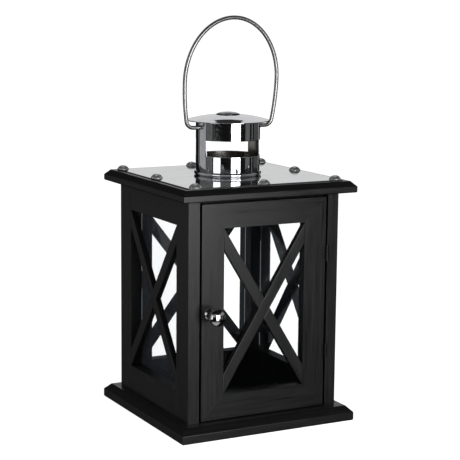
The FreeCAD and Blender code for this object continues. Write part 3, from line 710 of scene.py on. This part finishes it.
class Surround:
    """Short way to write the nodes of the studio's surround."""

    def __init__(self, world):
        world.use_nodes = True
        self.nodes, self.links = world.node_tree.nodes, world.node_tree.links
        self.nodes.clear()
        sight = self.add("TexCoord").outputs["Generated"]
        level = self.add("VectorMath", operation="MULTIPLY")
        self.links.new(sight, level.inputs[0])
        level.inputs[1].default_value = (1, 1, 0)
        heading = self.add("VectorMath", operation="NORMALIZE")
        self.links.new(level.outputs[0], heading.inputs[0])
        self.heading = heading.outputs[0]
        split = self.add("SeparateXYZ")
        self.links.new(sight, split.inputs[0])
        self.height = split.outputs["Z"]
        self.path = self.add("LightPath")

    def add(self, kind, **settings):
        node = self.nodes.new("ShaderNode" + kind)
        for key, value in settings.items():
            setattr(node, key, value)
        return node

    def ramp(self, value, start, stop, top=1.0):
        """Smooth step from 0 at start to top at stop."""
        node = self.add("MapRange", interpolation_type="SMOOTHSTEP")
        self.links.new(value, node.inputs["Value"])
        node.inputs["From Min"].default_value = start
        node.inputs["From Max"].default_value = stop
        node.inputs["To Max"].default_value = top
        return node.outputs["Result"]

    def rise(self, start, stop):
        """Smooth step between two elevations in degrees."""
        return self.ramp(self.height, math.sin(math.radians(start)), math.sin(math.radians(stop)))

    def combine(self, operation, first, second):
        node = self.add("Math", operation=operation)
        self.links.new(first, node.inputs[0])
        if isinstance(second, float):
            node.inputs[1].default_value = second
        else:
            self.links.new(second, node.inputs[1])
        return node.outputs[0]

    def panel(self, az, half, low, high, soft, strength):
        """Soft-edged pale wall panel, given by its heading and its lowest and highest angle."""
        turn = self.add("VectorMath", operation="DOT_PRODUCT")
        self.links.new(self.heading, turn.inputs[0])
        turn.inputs[1].default_value = toward(az, 0)
        across = self.ramp(turn.outputs["Value"], math.cos(math.radians(half + soft)),
                           math.cos(math.radians(half)), strength)
        upright = self.combine("SUBTRACT", self.rise(low - soft, low),
                               self.rise(high, high + soft))
        return self.combine("MULTIPLY", across, upright)

    def background(self, strength, tint=(1, 1, 1)):
        node = self.add("Background")
        node.inputs["Color"].default_value = (*tint, 1)
        if isinstance(strength, float):
            node.inputs["Strength"].default_value = strength
        else:
            self.links.new(strength, node.inputs["Strength"])
        return node.outputs[0]

    def after(self, depth, before, then, times=1):
        """Shader that changes once the ray has made so many bounces of one kind."""
        bounced = self.add("Math", operation="GREATER_THAN")
        bounced.inputs[1].default_value = times - 0.5
        self.links.new(self.path.outputs[depth], bounced.inputs[0])
        mix = self.add("MixShader")
        self.links.new(bounced.outputs[0], mix.inputs[0])
        self.links.new(before, mix.inputs[1])
        self.links.new(then, mix.inputs[2])
        return mix.outputs[0]


# Pale panels of the studio as polished metal sees them: heading, half width, lowest and
# highest elevation and softness of the edge, all in degrees, then brightness. A panel with a
# negative brightness darkens the one behind it.
PANELS = [(152, 12, 2, 44, 3, 0.68),
          (152, 4, 28.5, 39, 0.6, -0.66),
          (168, 46, 53, 88, 3, 0.42),
          (-129, 14, -18, 3, 4, 0.34),
          (-150, 6, -11, 3, 3, 0.14),
          (1, 12, -26, -6, 3, 2.0),
          (58, 34, 14, 31, 5, 0.27),
          (-76, 68, 11, 34, 5, 0.30),
          (-98, 10, -14, 3, 5, 0.10),
          (-82, 5, -14, 3, 5, 0.03),
          (48, 7, -14, 3, 5, 0.12),
          (96, 14, -14, 3, 6, 0.06),
          (-28, 60, -83, -43, 6, 0.42)]
CABIN_PANEL = (-62, 125, -35, -3, 5, 0.15)      # what glossy surfaces in the cabin see
CABIN_TINT = (0.85, 0.93, 1)
CABIN_DEPTH = 4             # faces of glass on the way into the cabin and out again
STUDIO_DARK = 0.006         # brightness between the panels
BEHIND_GLASS = 0.2          # share of the panels that is left behind a pane
SURROUND = 1.02             # brightness straight from the camera
THROUGH_GLASS = 1.4         # the same through glass, which takes some away
FILL = 0.12                 # brightness as matt surfaces see it
FLOOR_HALF = 3.0            # metres
FLOOR_GLOW = 0.92           # keeps the pale floor as white as the surround

# name, heading in degrees, distance, lowest and highest point, width in metres, watts
SOFTBOXES = [("key", 1, 0.72, (0.02, 0.42), 0.40, 3.45),
             ("low_card", -65.5, 0.5, (0.01, 0.177), 0.22, 0.22),
             ("high_card", -65.5, 0.5, (0.225, 0.30), 0.22, 0.10),
             ("thin_card", 68, 1.0, (0.0, 0.9), 0.025, 0.03),
             ("far_thin_card", 114, 1.0, (0.0, 0.5), 0.03, 0.05)]


def make_world():
    """White surround; glossy surfaces see a dark studio with pale panels instead."""
    world = bpy.data.worlds.new("studio")
    bpy.context.scene.world = world
    w = Surround(world)
    total = w.panel(*PANELS[0])
    for values in PANELS[1:]:
        total = w.combine("ADD", total, w.panel(*values))
    total = w.combine("ADD", total, STUDIO_DARK)
    faint = w.combine("MULTIPLY", total, BEHIND_GLASS)
    reflected = w.after("Transmission Depth", w.background(total), w.background(faint))
    inside = w.background(w.combine("ADD", faint, w.panel(*CABIN_PANEL)), CABIN_TINT)
    reflected = w.after("Transmission Depth", reflected, inside, CABIN_DEPTH)
    seen = w.after("Transmission Depth", w.background(SURROUND), w.background(THROUGH_GLASS))
    seen = w.after("Diffuse Depth", seen, w.background(FILL))
    seen = w.after("Glossy Depth", seen, reflected)
    w.links.new(seen, w.add("OutputWorld").inputs[0])


def make_floor():
    bm = bmesh.new()
    half = FLOOR_HALF
    corners = [(-half, -half), (half, -half), (half, half), (-half, half)]
    bm.faces.new([bm.verts.new((x, y, 0)) for x, y in corners])
    mesh = bpy.data.meshes.new("floor")
    bm.to_mesh(mesh)
    bm.free()
    t = Tree("pale_floor")
    t.shade(Base_Color=(0.85, 0.85, 0.85), Roughness=0.8, Emission_Color=(1, 1, 1),
            Emission_Strength=FLOOR_GLOW)
    mesh.materials.append(t.material)
    floor = bpy.data.objects.new("floor", mesh)
    bpy.context.scene.collection.objects.link(floor)
    floor.visible_glossy = False
    floor.visible_transmission = False


def make_studio():
    make_world()
    make_floor()
    for values in SOFTBOXES:
        softbox(*values)
    make_camera()
    bpy.context.scene.view_settings.view_transform = "Standard"


paint_wood()
finish_metal_and_glass()
build_metalwork()
make_studio()
